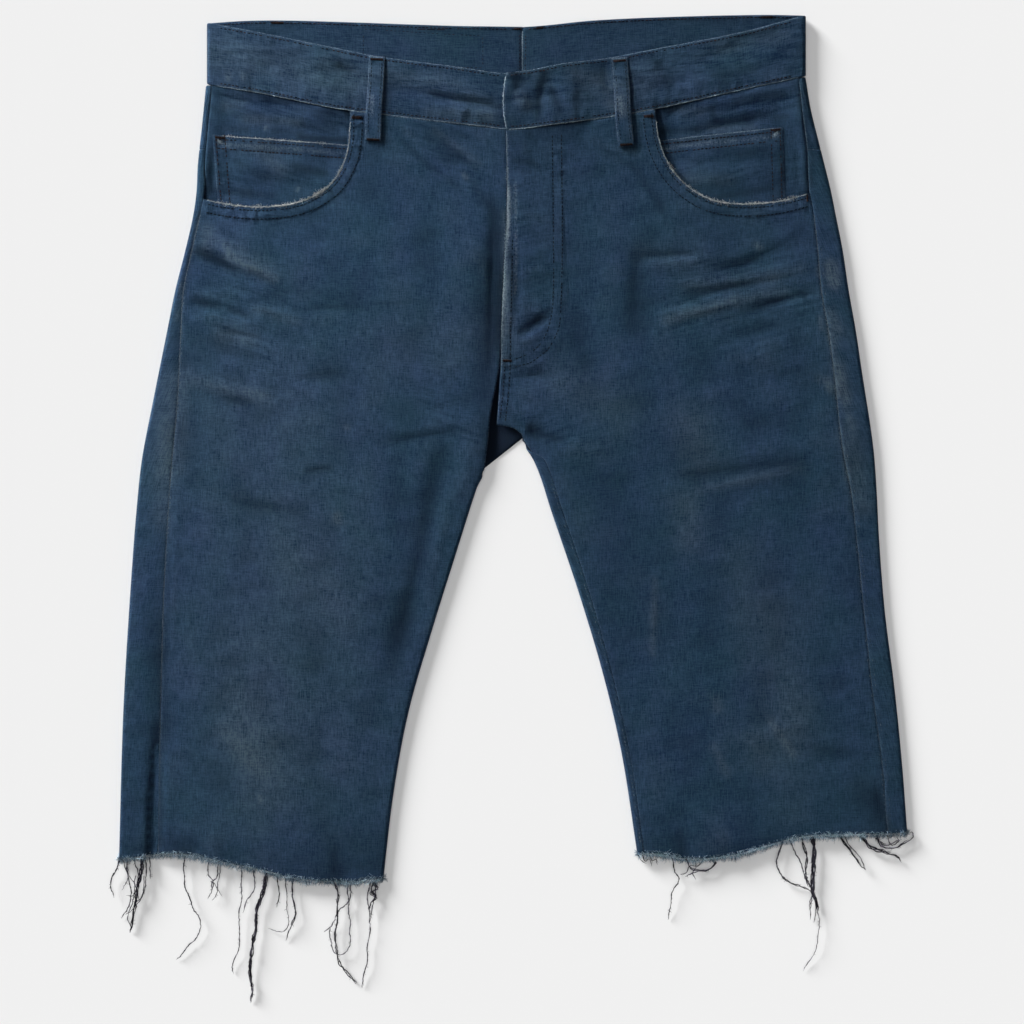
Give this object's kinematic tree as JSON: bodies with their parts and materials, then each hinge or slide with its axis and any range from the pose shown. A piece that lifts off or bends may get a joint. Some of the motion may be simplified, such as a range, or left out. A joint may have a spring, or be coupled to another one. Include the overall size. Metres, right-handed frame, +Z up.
{
  "type": "denim shorts",
  "caption": "Knee-length denim shorts laid flat: waistband with belt loops, curved front pockets, lapped fly and raw frayed hems with long loose threads",
  "frame": {"origin": "On the surface that the shorts lie on, under the middle of their outline, loose threads included", "axes": "+Z up from the surface through the front of the shorts, +Y from the hems to the waist, +X to the wearer's left"},
  "size_m": [0.5776, 0.7158, 0.0103],
  "materials": {
    "denim": "dark blue overdyed denim, dull twill",
    "worn_denim": "the same denim, rubbed paler",
    "frayed_edge": "loose cotton yarn ends"
  },
  "bodies": {
    "root": {"front_panel_right": "denim", "front_panel_left": "denim", "back_panel_right": "denim", "back_panel_left": "denim", "back_yoke_right": "denim", "back_yoke_left": "denim", "waistband_right": "denim", "waistband_left": "denim", "fly_shield": "denim", "pocket_facing_right": "denim", "pocket_facing_left": "denim", "coin_pocket_right": "worn_denim", "coin_pocket_left": "worn_denim", "belt_loop_front_right": "worn_denim", "belt_loop_front_left": "worn_denim", "belt_loop_back_right": "worn_denim", "belt_loop_back_centre": "worn_denim", "belt_loop_back_left": "worn_denim", "hem_fray_front_right": "frayed_edge", "hem_fray_front_left": "frayed_edge", "hem_fray_back_right": "frayed_edge", "hem_fray_back_left": "frayed_edge"}
  },
  "joints": []
}
